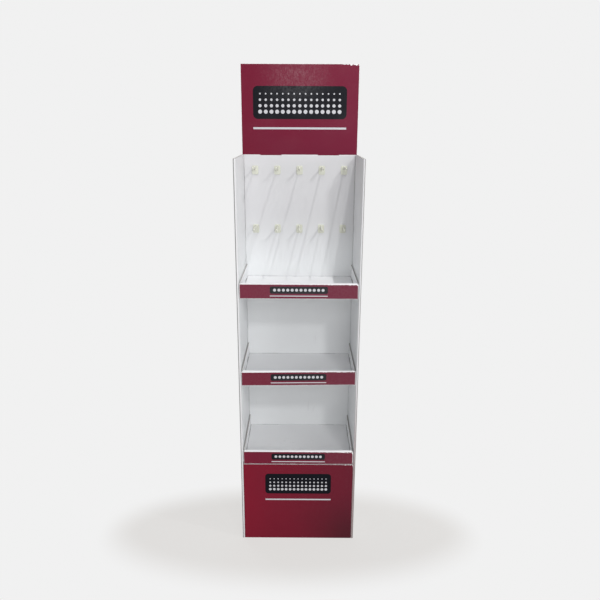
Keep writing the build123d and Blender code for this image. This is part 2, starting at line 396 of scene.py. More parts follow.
@dataclass(frozen=True)
class CardStock(Finish):
    """White coated fluted board: its liner with clouding, fibres and scuffs, and its cut edges."""

    white: Colour = (0.780, 0.794, 0.802)
    # tone of wear marks, also used for painted shade on the upper panels and for the darker spines and lip
    # top
    worn: Colour = (0.60, 0.595, 0.61)
    core: Colour = (0.66, 0.645, 0.62)
    # painted shade in the flutes' hollows on cut edges
    hollow: Colour = (0.34, 0.33, 0.31)
    # painted shade: the dark of the seams between panels and of the spines' outer corners
    painted_shade: Colour = (0.13, 0.125, 0.12)
    specular: float = 0.3
    roughness: float = 0.50
    gloss: Mottle = Mottle(24.0, 3.0, shift=5.3, share=0.16)
    cloud: Mottle = Mottle(4.0, edge=0.55, soft=0.5, share=0.14)
    fibre: Mottle = Mottle(520.0, edge=0.66, soft=0.1, share=0.10)
    patch: Mottle = Mottle(9.0, shift=3.1, edge=0.58, soft=0.12)
    scuff: Mottle = Mottle(70.0, 5.0, (1.0, 1.0, 0.14), edge=0.63, soft=0.06, share=0.22)
    dust: Mottle = Mottle(38.0, 3.0, soft=0.3, share=0.40)
    dust_height: float = 0.03
    seam: Mottle = Mottle(60.0, 3.0, shift=7.7)
    seam_spread: float = 0.6
    seam_width: float = 0.003
    seam_share: float = 0.7
    flute_pitch: float = 0.0064
    flute_rise_share: float = 0.33
    flute_share: float = 0.13
    flute_soft: float = 0.08
    liner_share: float = 0.40
    liner_soft: float = 0.06
    flute_relief: float = 9e-6
    grain: Mottle = Mottle(900.0, 3.0, share=1.2e-5)
    sway: Mottle = Mottle(5.0, 1.0, shift=1.7, share=5e-4)

    def liner(self, graph: Graph) -> Value:
        """Colour of the coated face: clouding, fine fibres, lengthwise scuffs and dust near the floor.

        Args:
            graph: graph of the material.

        Returns:
            The colour.
        """
        scuff = self.scuff.mask(graph) * self.patch.mask(graph)
        dust = self.dust.mask(graph) * graph.at.z.below(self.dust_height, 2 * self.dust_height)
        marks = self.cloud.mask(graph).most(self.fibre.mask(graph)).most(scuff).most(dust)
        return graph.mix(marks, self.white, self.worn)

    def seamed(self, graph: Graph, colour: Value, gap: Value, where: Value) -> Value:
        """Painted shade that gathers in the corner where two panels meet.

        Args:
            graph: graph of the material.
            colour: colour of the face.
            gap: distance to the corner.
            where: mask of the faces that have the corner.

        Returns:
            The colour with the seam.
        """
        ragged = spread(self.seam.noise(graph), self.seam_spread)
        seam = (gap / ragged).below(self.seam_width / 2, self.seam_width) * where
        return graph.mix(seam * self.seam_share, colour, self.painted_shade)

    def wave(self, along: Value) -> Value:
        """Height of the fluting, from -1 to 1: the sine of a full turn for each pitch along the board."""
        return (along * (TURN / self.flute_pitch)).sine()

    def cut_edge(self, graph: Graph, along: Value, across: Value) -> Value:
        """Colour of a cut edge: two liners, and between them the fluting beside its hollows, whose dark is
        painted shade.

        The fluting's line lies half way through the board, plus its rise times the wave.

        Args:
            graph: graph of the material.
            along: distance along the edge.
            across: share of the thickness, from 0 to 1.

        Returns:
            The colour.
        """
        line = 0.5 + self.flute_rise_share * self.wave(along)
        liner = abs(across - 0.5).above(self.liner_share, self.liner_soft)
        flute = abs(across - line).below(self.flute_share, self.flute_soft)
        return graph.mix(liner.most(flute), self.hollow, self.core)

    def relief(self, graph: Graph, along: Value) -> Value:
        """Height in metres: a faint washboard along the board, fibre grain and a slow sway."""
        return self.wave(along) * self.flute_relief + self.grain.level(graph) + self.sway.level(graph)

    def material(self, graph: Graph, colour: Value, along: Value) -> bpy.types.Material:
        """Closes the material of an unprinted piece, with its fluting along the given way."""
        return graph.finish(self.sockets(colour, self.rough(graph)), self.relief(graph, along))


@dataclass(frozen=True)
class DotPanel:
    """Black rounded bar with rows of white dots that shrink upwards, and a white rule under it."""

    middle: float
    width: float
    height: float
    corner: float
    columns: int
    rows: int
    rule_drop: float
    rule: float
    margin_share: float = 0.045
    dot_share: float = 0.34
    dot_soft: float = 0.05
    cell_soft: float = 0.01
    edge: float = 0.0003

    def masks(self, at: Point) -> tuple[Value, Value]:
        """Where the print is black, and where it is white.

        The bar is where a rectangle, shrunk by the corner's radius, is nearer than that radius.
        A dot is where the middle of its square cell is nearer than the radius of its row.

        Args:
            at: place on the surface.

        Returns:
            The black mask and the white mask.
        """
        up = at.z - self.middle
        aside = abs(at.x) - (self.width / 2 - self.corner)
        rise = abs(up) - (self.height / 2 - self.corner)
        bar = aside.most(0.0).hypot(rise.most(0.0)).below(self.corner, self.edge)

        margin = self.margin_share * self.width
        pitch = (self.width - 2 * margin) / self.columns
        foot = (self.height - self.rows * pitch) / 2
        column = at.x / pitch + self.columns / 2
        row = (up + (self.height / 2 - min(foot, margin))) / pitch
        radius = self.dot_share * (1.0 - row.whole() / (self.rows + 1.0))
        gap = (column.part() - 0.5).hypot(row.part() - 0.5) - radius
        dots = gap.below(0.0, self.dot_soft)
        for cell, count in ((column, self.columns), (row, self.rows)):
            dots = dots * cell.above(0.0, self.cell_soft) * cell.below(float(count), self.cell_soft)

        rule = abs(up + (self.height / 2 + self.rule_drop)).below(self.rule / 2, self.edge)
        rule = rule * abs(at.x).below(self.width / 2, self.edge)
        return bar, dots.most(rule)


@dataclass(frozen=True)
class EdgeWear:
    """Wear of a printed panel's edges: even all round, and deeper along the top towards the right."""

    even: float
    deep: float
    start: float
    fade: float
    drop: float
    drop_fade: float

    def depth(self, at: Point, upper: Value) -> Value:
        """Depth of the wear, from the place and the distance below the top edge."""
        worn = at.x.above(self.start, self.fade) * upper.below(self.drop, self.drop_fade)
        return self.even + self.deep * worn


@dataclass(frozen=True)
class PrintInk(Finish):
    """Crimson offset print with black and white fields, worn to the white paper along its edges."""

    crimson: Colour = (0.147, 0.0068, 0.025)
    # colour the red shifts to towards the right as painted shade and reflection, also the colour of the
    # blotches
    shaded_and_blotched: Colour = (0.136, 0.0093, 0.032)
    black: Colour = (0.0038, 0.0042, 0.0072)
    white: Colour = (0.525, 0.522, 0.55)
    paper: Colour = (0.78, 0.775, 0.78)
    specular: float = 0.05
    roughness: float = 0.34
    gloss: Mottle = Mottle(180.0, 4.0, share=0.12)
    varnish: float = 0.05
    plain_spread: float = 0.3
    extra_spread: float = 0.6
    mottle: Mottle = Mottle(210.0, 4.0, shift=6.1, soft=0.24)
    side_shade_share: float = 0.55
    side_shade_slope: float = 2.2
    blotch: Mottle = Mottle(5.5, 3.0, shift=2.2, edge=0.55, soft=0.5, share=0.6)
    pinhole: Mottle = Mottle(900.0, 1.0, edge=0.74, soft=0.05, share=0.10)
    hairline: float = 0.0004
    ragged: Mottle = Mottle(230.0, 4.0, shift=4.4, edge=0.53, soft=0.22)

    def face(self, graph: Graph, at: Point, panel: DotPanel, edge: Value, wear: Value) -> Value:
        """Colour of the printed face.

        The red shifts from left to right as painted shade and reflection, with blotches.
        Bare paper shows where the distance to the edge is under the hairline, or under the
        wear's depth times noise.

        Args:
            graph: graph of the material.
            at: place on the surface.
            panel: the print's design.
            edge: distance to the nearest edge of the face.
            wear: depth of the nicks in the edge.

        Returns:
            The colour.
        """
        # painted shade and reflection from left to right, plus blotches
        shade_mix = (at.x * self.side_shade_slope + 0.5).least(1.0).most(0.0) * self.side_shade_share
        shade_mix = shade_mix + self.blotch.mask(graph) * (1.0 - self.side_shade_share)
        colour = graph.mix(shade_mix, self.crimson, self.shaded_and_blotched)
        colour = graph.mix(self.pinhole.mask(graph), colour, self.paper)
        bar, bright = panel.masks(at)
        colour = graph.mix(bar, colour, self.black)
        colour = graph.mix(bright, colour, self.white)
        bare = (edge - self.hairline - wear * self.ragged.mask(graph)).below(0.0, self.hairline)
        return graph.mix(bare, colour, self.paper)

    def sheen(self, graph: Graph, extra: Number = 0.0) -> Value:
        """Weight of the thin varnish: mottled, and thicker by what a piece adds."""
        mottle = self.mottle.mask(graph)
        return self.varnish * spread(mottle, self.plain_spread) + extra * spread(mottle, self.extra_spread)

    def coated(self, colour: Value, rough: Value, coat: Value) -> dict[str, Any]:
        """Shader values of a printed piece, with a coat where it has varnish."""
        return {**self.sockets(colour, rough), "Coat Weight": coat, "Coat Roughness": self.roughness}


@dataclass(frozen=True)
class HookPlastic(Finish):
    """Natural cream plastic from a mould, with a satin skin and a little dust."""

    cream: Colour = (0.65, 0.66, 0.57)
    shaded: Colour = (0.53, 0.53, 0.44)
    specular: float = 0.4
    roughness: float = 0.34
    gloss: Mottle = Mottle(300.0, 2.0, shift=1.1, share=0.14)
    streak: Mottle = Mottle(160.0, 3.0, (1.0, 0.25, 1.0), edge=0.55, soft=0.4, share=0.35)
    dust: Mottle = Mottle(420.0, 3.0, edge=0.52, soft=0.2, share=0.18)
    dust_facing: float = 0.5
    dust_soft: float = 0.6
    skin: Mottle = Mottle(900.0, 2.0, share=2.0e-5)

    def material(self) -> bpy.types.Material:
        """The finish: soft streaks of the melt, dust on top, an orange-peel skin and uneven sheen.

        Returns:
            The material.
        """
        graph = Graph.material("hook_plastic")
        dust = self.dust.mask(graph) * graph.facing.z.above(self.dust_facing, self.dust_soft)
        colour = graph.mix(self.streak.mask(graph).most(dust), self.cream, self.shaded)
        return graph.finish(self.sockets(colour, self.rough(graph)), self.skin.level(graph))


@dataclass
class Body:
    """The one folded sheet: back panel, double side walls and hem."""

    stock: CardStock
    node: str = "body_wrap"
    upper_shade_from: float = 1.06
    upper_shade_fade: float = 0.22
    upper_shade_share: float = 0.8
    upper_shade_outside_share: float = 0.5
    low_seam_share: float = 0.5
    foot_dark_share: float = 0.90
    top_dark_share: float = 0.40
    scuff: Colour = (0.19, 0.095, 0.085)
    scuff_height: float = 0.45
    scuff_share: float = 0.66
    corner_reach: float = 0.0028
    corner_share: float = 0.75

    def dress(self) -> None:
        """White liner with painted shade up top and in corners, darker spines, and fluting on the cut ends.
        """
        graph = Graph.material("white_card_body")
        colour = self.upper_shade(graph, self.stock.liner(graph))
        colour = self.cut_ends(graph, self.darkened(graph, colour))
        along = graph.at.x.towards(graph.at.y, abs(graph.facing.x).turned())
        dress(self.node, self.stock.material(graph, colour, along))

    def upper_shade(self, graph: Graph, colour: Value) -> Value:
        """Painted shade on the upper panels, most in the hook bay, and in the back panel's corners, less of
        it low down.

        Args:
            graph: graph of the material.
            colour: colour of the liner.

        Returns:
            The colour with the marks.
        """
        at = graph.at
        in_bay = (-graph.facing.y).turned() * at.y.above(0.0, CARD)
        # painted shade on the upper panels, full inside the hook bay, half outside
        upper_shade = at.z.above(self.upper_shade_from, self.upper_shade_fade) * self.upper_shade_share
        inside = self.upper_shade_outside_share + (1.0 - self.upper_shade_outside_share) * in_bay
        colour = graph.mix(upper_shade * inside, colour, self.stock.worn)
        seam = 1.0 - self.low_seam_share * at.z.below(self.upper_shade_from, self.upper_shade_fade)
        return self.stock.seamed(graph, colour, BAY_X - abs(at.x), in_bay * seam)

    def darkened(self, graph: Graph, colour: Value) -> Value:
        """Front spines: darker towards the floor, the right one scuffed low down, outer corners in painted
        shade.

        Args:
            graph: graph of the material.
            colour: colour of the panels.

        Returns:
            The colour with the soil.
        """
        at = graph.at
        low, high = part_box(self.node)
        front = at.y.below(low.y + CARD, CARD / 2)
        darkening = self.foot_dark_share + (self.top_dark_share - self.foot_dark_share) * (at.z / high.z)
        colour = graph.mix(front * darkening, colour, self.stock.worn)
        scuffed = at.x.above(0.0, CARD) * at.z.below(self.scuff_height, self.scuff_height) * front
        colour = graph.mix(scuffed * self.scuff_share, colour, self.scuff)
        # painted shade on the spines' rounded outer corners
        corner = abs(at.x).above(high.x - self.corner_reach, self.corner_reach / 2) * front
        return graph.mix(corner * self.corner_share, colour, self.stock.painted_shade)

    def cut_ends(self, graph: Graph, colour: Value) -> Value:
        """Fluting on the cut tops and feet of the walls and the back panel, but not on the hem's fold.

        Args:
            graph: graph of the material.
            colour: colour of the faces.

        Returns:
            The colour with the cut ends.
        """
        at = graph.at
        in_layer = abs(at.x).below(BODY_TOP.x - CARD - LAYER_GAP / 2, GLUE_GAP)
        across_wall = (abs(at.x) - (BODY_TOP.x - CARD) + in_layer * (CARD + LAYER_GAP)) / CARD
        across_panel = (at.y - PANEL_Y) / CARD
        on_wall = abs(at.x).above(BAY_X, GLUE_GAP)
        across = across_panel.towards(across_wall, on_wall)
        along = at.x.towards(at.y, on_wall)
        hem_fold = at.y.above(PANEL_Y, GLUE_GAP) * at.z.above(BODY_TOP.z - CARD, GLUE_GAP)
        cut = abs(graph.facing.z).turned() * (1.0 - hem_fold)
        return graph.mix(cut, colour, self.stock.cut_edge(graph, along, across))


@dataclass
class Header:
    """Flat printed card that stands on the hem."""

    stock: CardStock
    ink: PrintInk
    node: str = "header_card"
    panel: DotPanel = DotPanel(
        middle=1.515, width=0.316, height=0.106, corner=0.016,
        columns=15, rows=4, rule_drop=0.030, rule=0.0065,
    )
    wear: EdgeWear = EdgeWear(even=0.0003, deep=0.005, start=0.15, fade=0.03, drop=0.006, drop_fade=0.004)
    flute_stretch_share: float = 0.04
    glare: float = 0.30
    glare_middle: tuple[float, float] = (-0.012, 1.603)
    glare_reach: tuple[float, float] = (0.13, 0.095)
    glare_edge: float = 0.6
    glare_spread: float = 0.8
    streak: Mottle = Mottle(190.0, 4.0, (1.0, 1.0, 0.45), 9.2, soft=0.16)
    cloud: Mottle = Mottle(11.0, 2.0, shift=8.3, edge=0.55, soft=0.3, share=0.05)

    def dress(self) -> None:
        """Print on the front, white liner behind, and fluting on the cut edges.

        The flutes stand upright, so the side edges show them drawn out.
        """
        low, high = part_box(self.node)
        graph = Graph.material("printed_header")
        at, facing = graph.at, graph.facing
        front = (-facing.y).turned()
        upper = high.z - at.z
        edge = (high.x - abs(at.x)).least(upper)
        ink = self.ink.face(graph, at, self.panel, edge, self.wear.depth(at, upper))
        colour = graph.mix(front, self.stock.liner(graph), ink)
        along = at.x.towards(at.z * self.flute_stretch_share, abs(facing.x).turned())
        across = (at.y - low.y) / CARD
        cut = 1.0 - abs(facing.y).turned()
        colour = graph.mix(cut, colour, self.stock.cut_edge(graph, along, across))
        rough = self.stock.rough(graph).towards(self.ink.rough(graph), front)
        coat = self.ink.sheen(graph, self.varnished(graph)) * front
        sockets = self.ink.coated(colour, rough, coat)
        dress(self.node, graph.finish(sockets, self.stock.relief(graph, at.x)))

    def varnished(self, graph: Graph) -> Value:
        """Extra varnish: an oval of streaks near the top, and faint clouds all over.

        The oval's mask falls with the length of the place's offsets, each over its reach.

        Args:
            graph: graph of the material.

        Returns:
            The weight to add to the plain varnish.
        """
        aside = (graph.at.x - self.glare_middle[0]) / self.glare_reach[0]
        rise = (graph.at.z - self.glare_middle[1]) / self.glare_reach[1]
        oval = aside.hypot(rise).below(self.glare_edge, 2 * self.glare_edge) * self.glare
        return oval * spread(self.streak.mask(graph), self.glare_spread) + self.cloud.mask(graph)


@dataclass
class Tray:
    """One shelf: a folded tray with a rolled lip, and the printed strip on the lip's front.

    The panel's middle is measured from the strip's foot, and the lean is in degrees, right end up.
    """

    level: Level
    stock: CardStock
    ink: PrintInk
    nick_depth: float
    varnish_right: float
    lean: float = 0.0
    panel: DotPanel = DotPanel(
        middle=0.0285, width=0.186, height=0.024, corner=0.006,
        columns=12, rows=1, rule_drop=0.0075, rule=0.003,
    )
    edge_wear: float = 0.0004
    nicks_start: float = 0.10
    nicks_fade: float = 0.22
    varnish_fade: float = 0.3
    lip_depth: float = 0.012
    lip_dark_share: float = 0.3

    def dress(self) -> None:
        """White liner with cut edges on the tray, and print on the strip."""
        self.dress_tray()
        self.dress_strip()

    def dress_tray(self) -> None:
        """Liner on all faces; the side walls' tops are cut edges, the lip's top is a fold."""
        node = f"{self.level.value}_shelf"
        low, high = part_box(node)
        graph = Graph.material(f"white_card_{node}")
        at, facing = graph.at, graph.facing
        behind_lip = at.y.above(low.y + self.lip_depth, GLUE_GAP)
        fold = at.z.above(high.z - FOLD_RADIUS, CARD / 2) * (1.0 - behind_lip)
        # the lip's rolled top a little darker
        colour = graph.mix(fold * self.lip_dark_share, self.stock.liner(graph), self.stock.worn)
        # painted shade in the corners along the back panel and the side walls
        corner = (PANEL_Y - at.y).least(SHELF_X - CARD - abs(at.x))
        colour = self.stock.seamed(graph, colour, corner, facing.z.turned())
        cut = facing.z.turned() * at.z.above(high.z - CARD, GLUE_GAP) * behind_lip
        across = (abs(at.x) - (SHELF_X - CARD)) / CARD
        colour = graph.mix(cut, colour, self.stock.cut_edge(graph, at.y, across))
        along = at.y.towards(at.z, abs(facing.y).turned())
        dress(node, self.stock.material(graph, colour, along))

    def dress_strip(self) -> None:
        """Print on the strip's front, nicked along its top towards the right; its edges are bare paper.

        The print follows the strip's lean: its height is taken from a line that climbs by the lean.
        """
        node = f"{self.level.value}_strip"
        low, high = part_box(node)
        slope = math.tan(math.radians(self.lean))
        climb = high.x * slope
        foot, top = low.z + climb, high.z - climb
        graph = Graph.material(f"printed_{node}")
        at = graph.at._replace(z=graph.at.z - graph.at.x * slope)
        front = (-graph.facing.y).turned()
        upper = top - at.z
        edge = upper.least(at.z - foot).least(high.x - abs(at.x))
        nick = self.nick_depth
        wear = EdgeWear(self.edge_wear, nick, self.nicks_start, self.nicks_fade, 2 * nick, nick)
        panel = replace(self.panel, middle=foot + self.panel.middle)
        ink = self.ink.face(graph, at, panel, edge, wear.depth(at, upper))
        colour = graph.mix(front, self.ink.paper, ink)
        coat = self.ink.sheen(graph, at.x.above(0.0, self.varnish_fade) * self.varnish_right) * front
        sockets = self.ink.coated(colour, self.ink.rough(graph), coat)
        dress(node, graph.finish(sockets, self.stock.relief(graph, at.z)))


@dataclass
class Plinth:
    """Printed plinth front with its two flanges."""

    stock: CardStock
    ink: PrintInk
    node: str = "base_front"
    panel: DotPanel = DotPanel(
        middle=0.226, width=0.232, height=0.080, corner=0.012,
        columns=15, rows=4, rule_drop=0.024, rule=0.0052,
    )
    wear: EdgeWear = EdgeWear(even=0.0002, deep=0.0030, start=0.15, fade=0.12, drop=0.005, drop_fade=0.004)
    fold_facing: float = 0.1
    # painted shade towards the floor, most on the right
    darkening: Colour = (0.012, 0.010, 0.010)
    foot_shade_height: float = 0.10
    foot_shade_share: float = 0.42
    foot_shade_left_share: float = 0.05
    foot_shade_start: float = 0.09
    foot_shade_fade: float = 0.22

    def dress(self) -> None:
        """Print with painted shade low down on the right, liner inside, fluting on the cut top and foot."""
        low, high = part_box(self.node)
        graph = Graph.material("printed_plinth")
        at, facing = graph.at, graph.facing
        forward = (-facing.y).above(self.fold_facing, self.fold_facing)
        front = at.y.below(low.y + FOLD_RADIUS, GLUE_GAP) * forward
        upper = high.z - at.z
        edge = upper.least(at.z - low.z).least(high.x - abs(at.x))
        ink = self.ink.face(graph, at, self.panel, edge, self.wear.depth(at, upper))
        # painted shade low down, most on the right
        right = at.x.above(self.foot_shade_start, self.foot_shade_fade)
        darkening = self.foot_shade_left_share + (1.0 - self.foot_shade_left_share) * right
        darkening = at.z.below(self.foot_shade_height, 2 * self.foot_shade_height) * darkening
        ink = graph.mix(darkening * self.foot_shade_share, ink, self.darkening)
        colour = graph.mix(front, self.stock.liner(graph), ink)
        across = (at.y - low.y) / CARD
        colour = graph.mix(abs(facing.z).turned(), colour, self.stock.cut_edge(graph, at.x, across))
        rough = self.stock.rough(graph).towards(self.ink.rough(graph), front)
        sockets = self.ink.coated(colour, rough, self.ink.sheen(graph) * front)
        dress(self.node, graph.finish(sockets, self.stock.relief(graph, at.x)))


def rounded(width: np.ndarray, height: np.ndarray, corner: np.ndarray, arc: int = 8) -> np.ndarray:
    """Rounded rectangles, one a row.

    Each quadrant is an arc of the corner's radius about a centre that lies one radius inside the two sides.

    Args:
        width: widths of the rows.
        height: heights of the rows.
        corner: radii of the rows.
        arc: steps of each corner's arc.

    Returns:
        Array of rows, points and the two coordinates.
    """
    width, height, corner = (size[:, None] for size in (width, height, corner))
    quadrant = np.repeat(np.arange(4), arc + 1)
    turn = (quadrant + np.tile(np.linspace(0.0, 1.0, arc + 1), 4)) * (TURN / 4)
    side = np.where((quadrant == 0) | (quadrant == 3), 1.0, -1.0)
    rise = np.where(quadrant < 2, 1.0, -1.0)
    aside = side * (width / 2 - corner) + corner * np.cos(turn)
    up = rise * (height / 2 - corner) + corner * np.sin(turn)
    return np.stack(np.broadcast_arrays(aside, up), axis=-1)


def loft(name: str, rings: np.ndarray) -> bpy.types.Mesh:
    """Closed skin over rings of points that run the same way round, with a fan to a point at each end.

    Args:
        name: name of the mesh.
        rings: array of rings, points and the three coordinates.

    Returns:
        The mesh.
    """
    count, points = rings.shape[:2]
    number = np.arange(count * points).reshape(count, points)
    after = np.roll(number, -1, axis=1)
    walls = np.stack([number[:-1], after[:-1], after[1:], number[1:]], axis=-1).reshape(-1, 4)
    first, last = count * points, count * points + 1
    foot = np.stack([after[0], number[0], np.full(points, first)], axis=-1)
    head = np.stack([number[-1], after[-1], np.full(points, last)], axis=-1)
    middles = np.stack([rings[0].mean(axis=0), rings[-1].mean(axis=0)])
    mesh = bpy.data.meshes.new(name)
    mesh.from_pydata(np.concatenate([rings.reshape(-1, 3), middles]), [], [*walls, *foot, *head])
    return mesh


def united(name: str, parts: Sequence[bpy.types.Mesh]) -> bpy.types.Mesh:
    """One closed mesh from overlapping closed ones.

    Args:
        name: name of the mesh.
        parts: the closed meshes.

    Returns:
        Their union.
    """
    holders = [placed(part.name, part) for part in parts]
    for holder in holders[1:]:
        modifier = holders[0].modifiers.new(holder.name, "BOOLEAN")
        modifier.operation = "UNION"
        modifier.solver = "EXACT"
        modifier.object = holder
    shown = holders[0].evaluated_get(bpy.context.evaluated_depsgraph_get())
    mesh = bpy.data.meshes.new_from_object(shown)
    mesh.name = name
    for holder in holders:
        bpy.data.objects.remove(holder)
    return mesh


@dataclass(frozen=True)
class HookForm:
    """One moulded hook, its plate seated at the origin and its bar pointing to -Y."""

    plate: tuple[float, float, float] = (0.022, 0.030, 0.0024)
    plate_corner: float = 0.005
    plate_edge: float = 0.0009
    plate_steps: int = 7
    bar: tuple[float, float] = (0.005, 0.006)
    bar_corner: float = 0.0018
    bar_lift: float = 0.009
    bar_run: float = 0.100
    bar_steps: int = 12
    bend_radius: float = 0.009
    bend_steps: int = 16
    tip_run: float = 0.007
    tip_rise: float = 0.006
    tip_steps: int = 6
    tip_edge: float = 0.0016
    tip_corner_share: float = 0.125
    web: tuple[float, float, float] = (0.0022, 0.020, 0.011)
    web_steps: int = 12
    web_end_share: float = 0.97
    web_corner_share: float = 0.3
    neck: float = 0.006
    neck_sides: int = 32
    lock: tuple[float, float, float] = (0.005, 0.018, 0.003)
    lock_corner: float = 0.0015
    lock_steps: int = 5
    soft_angle: float = 32.0

    @staticmethod
    def stack(outlines: np.ndarray, depth: np.ndarray) -> np.ndarray:
        """Outlines in the plane of the panel, set one behind the other at the given depths."""
        far = np.broadcast_to(depth[:, None], outlines.shape[:2])
        return np.stack([outlines[..., 0], far, outlines[..., 1]], axis=-1)

    def plate_part(self) -> bpy.types.Mesh:
        """Plate with a rounded front edge: in a quarter turn its inset grows as 1 - cos, its depth as sin.

        Returns:
            The mesh.
        """
        width, height, thick = self.plate
        turn = np.concatenate([[0.0], np.linspace(0.0, TURN / 4, self.plate_steps)])
        inset = self.plate_edge * (1.0 - np.cos(turn))
        depth = self.plate_edge - thick - self.plate_edge * np.sin(turn)
        depth[0] = 0.0
        outlines = rounded(width - 2 * inset, height - 2 * inset, self.plate_corner - inset)
        return loft("hook_plate", self.stack(outlines, depth))

    def bar_part(self) -> bpy.types.Mesh:
        """Bar swept along a path that is summed up from its heading; its end closes in a quarter circle.

        The heading is level along the run, and turns evenly to that of the tip over the bend's arc.

        Returns:
            The mesh.
        """
        turned = math.atan2(self.tip_rise, self.tip_run)
        cut = self.bend_radius * math.tan(turned / 2)
        root = self.plate[2] / 2
        straight = self.bar_run + root - cut
        arc = self.bend_radius * turned
        whole = straight + arc + math.hypot(self.tip_run, self.tip_rise) - cut
        closing = self.tip_edge * (1.0 - np.sin(np.linspace(0.0, TURN / 4, self.tip_steps + 1)[:-1]))
        along = np.unique(np.concatenate([
            np.linspace(0.0, straight, self.bar_steps),
            straight + np.linspace(0.0, arc, self.bend_steps),
            np.linspace(straight + arc, whole - self.tip_edge, self.tip_steps),
            whole - closing,
        ]))
        heading = turned * np.clip((along - straight) / arc, 0.0, 1.0)
        between = (heading[1:] + heading[:-1]) / 2
        steps = np.diff(along)[:, None] * np.stack([-np.cos(between), np.sin(between)], axis=1)
        path = np.concatenate([[[-root, self.bar_lift]], steps]).cumsum(axis=0)
        past = np.clip(1.0 - (whole - along) / self.tip_edge, 0.0, 1.0)
        inset = self.tip_edge * (1.0 - np.sqrt(1.0 - past ** 2))
        width, height = self.bar
        corner = np.maximum(self.bar_corner - inset, self.bar_corner * self.tip_corner_share)
        outlines = rounded(width - 2 * inset, height - 2 * inset, corner)
        rise = outlines[..., 1]
        lean, lift = np.sin(heading)[:, None], np.cos(heading)[:, None]
        rings = [outlines[..., 0], path[:, :1] + rise * lean, path[:, 1:] + rise * lift]
        return loft("hook_bar", np.stack(rings, axis=-1))

    def web_part(self) -> bpy.types.Mesh:
        """Gusset under the bar's root: its lower edge falls in a straight line from the bar to the plate.

        Returns:
            The mesh.
        """
        thick, length, height = self.web
        share = np.linspace(-self.plate[2] / (2 * length), self.web_end_share, self.web_steps)
        depth = -self.plate[2] - share * length
        tall = height * np.minimum(1.0 - share, 1.0)
        corner = np.minimum(thick, tall) * self.web_corner_share
        outlines = rounded(np.full_like(share, thick), tall, corner)
        outlines[..., 1] += (self.bar_lift - tall / 2)[:, None]
        return loft("hook_web", self.stack(outlines, depth))

    def rear_parts(self) -> list[bpy.types.Mesh]:
        """Round neck through the panel, and the cross bar that locks behind it.

        The cross bar's rims are quarter circles: its inset shrinks as 1 - sin while its depth grows as
        1 - cos.

        Returns:
            The meshes of the neck and the cross bar.
        """
        front = CARD + GLUE_GAP
        depth = np.array([-self.plate[2] / 2, front + self.plate_edge / 2])
        turn = np.linspace(0.0, TURN, self.neck_sides, endpoint=False)
        circle = self.neck / 2 * np.stack([np.cos(turn), np.sin(turn)], axis=-1)
        neck = np.stack([circle, circle])
        width, length, thick = self.lock
        quarter = np.linspace(0.0, TURN / 4, self.lock_steps)
        rim = self.plate_edge * (1.0 - np.sin(quarter))
        reach = self.plate_edge * (1.0 - np.cos(quarter))
        inset = np.concatenate([rim, rim[::-1]])
        far = front + np.concatenate([reach, thick - reach[::-1]])
        lock = rounded(width - 2 * inset, length - 2 * inset, self.lock_corner - inset)
        parts = {"hook_neck": (neck, depth), "hook_lock": (lock, far)}
        return [loft(name, self.stack(rows[::-1], place[::-1])) for name, (rows, place) in parts.items()]

    def build(self) -> bpy.types.Mesh:
        """The whole hook in one closed mesh, smooth but for its sharp edges.

        Returns:
            The mesh.
        """
        mesh = united("hook", [self.plate_part(), self.bar_part(), self.web_part(), *self.rear_parts()])
        mesh.polygons.foreach_set("use_smooth", np.ones(len(mesh.polygons), dtype=bool))
        mesh.set_sharp_from_angle(angle=math.radians(self.soft_angle))
        return mesh


@dataclass
class HookRows:
    """Two rows of moulded display hooks."""

    plastic: HookPlastic
    form: HookForm = HookForm()
    count: int = 5

    def build(self) -> None:
        """One mould for every hook, set where the solid's lock and plate are."""
        material = self.plastic.material()
        mould = self.form.build()
        shape = np.empty(len(mould.vertices) * 3)
        mould.vertices.foreach_get("co", shape)
        rear = CARD + GLUE_GAP + self.form.lock[2]
        for row in Row:
            for index in range(1, self.count + 1):
                node = f"{row.value}_hook_{index}"
                low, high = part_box(node)
                seat = np.array([(low.x + high.x) / 2, high.y - rear, low.z + self.form.plate[1] / 2])
                mesh = mould.copy()
                mesh.name = f"moulded_{node}"
                mesh.vertices.foreach_set("co", (shape.reshape(-1, 3) + seat).ravel())
                mesh.materials.append(material)
                hook = placed(mesh.name, mesh)
                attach(hook, BODY)
                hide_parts(node)
                LOG.info("moulded %s, %d faces", node, len(mesh.polygons))


@dataclass(frozen=True)
class Lamp:
    """A soft square lamp aimed at a point."""

    name: str
    place: Place
    size: float
    power: float
    aim: Place = (0.0, 0.0, 0.8)

    def build(self) -> None:
        """Makes the lamp, facing its aim."""
        light = bpy.data.lights.new(self.name, "AREA")
        light.shape = "SQUARE"
        light.size = self.size
        light.energy = self.power
        lamp = placed(self.name, light)
        lamp.location = self.place
        lamp.rotation_euler = (Vector(self.aim) - Vector(self.place)).to_track_quat("-Z", "Y").to_euler()


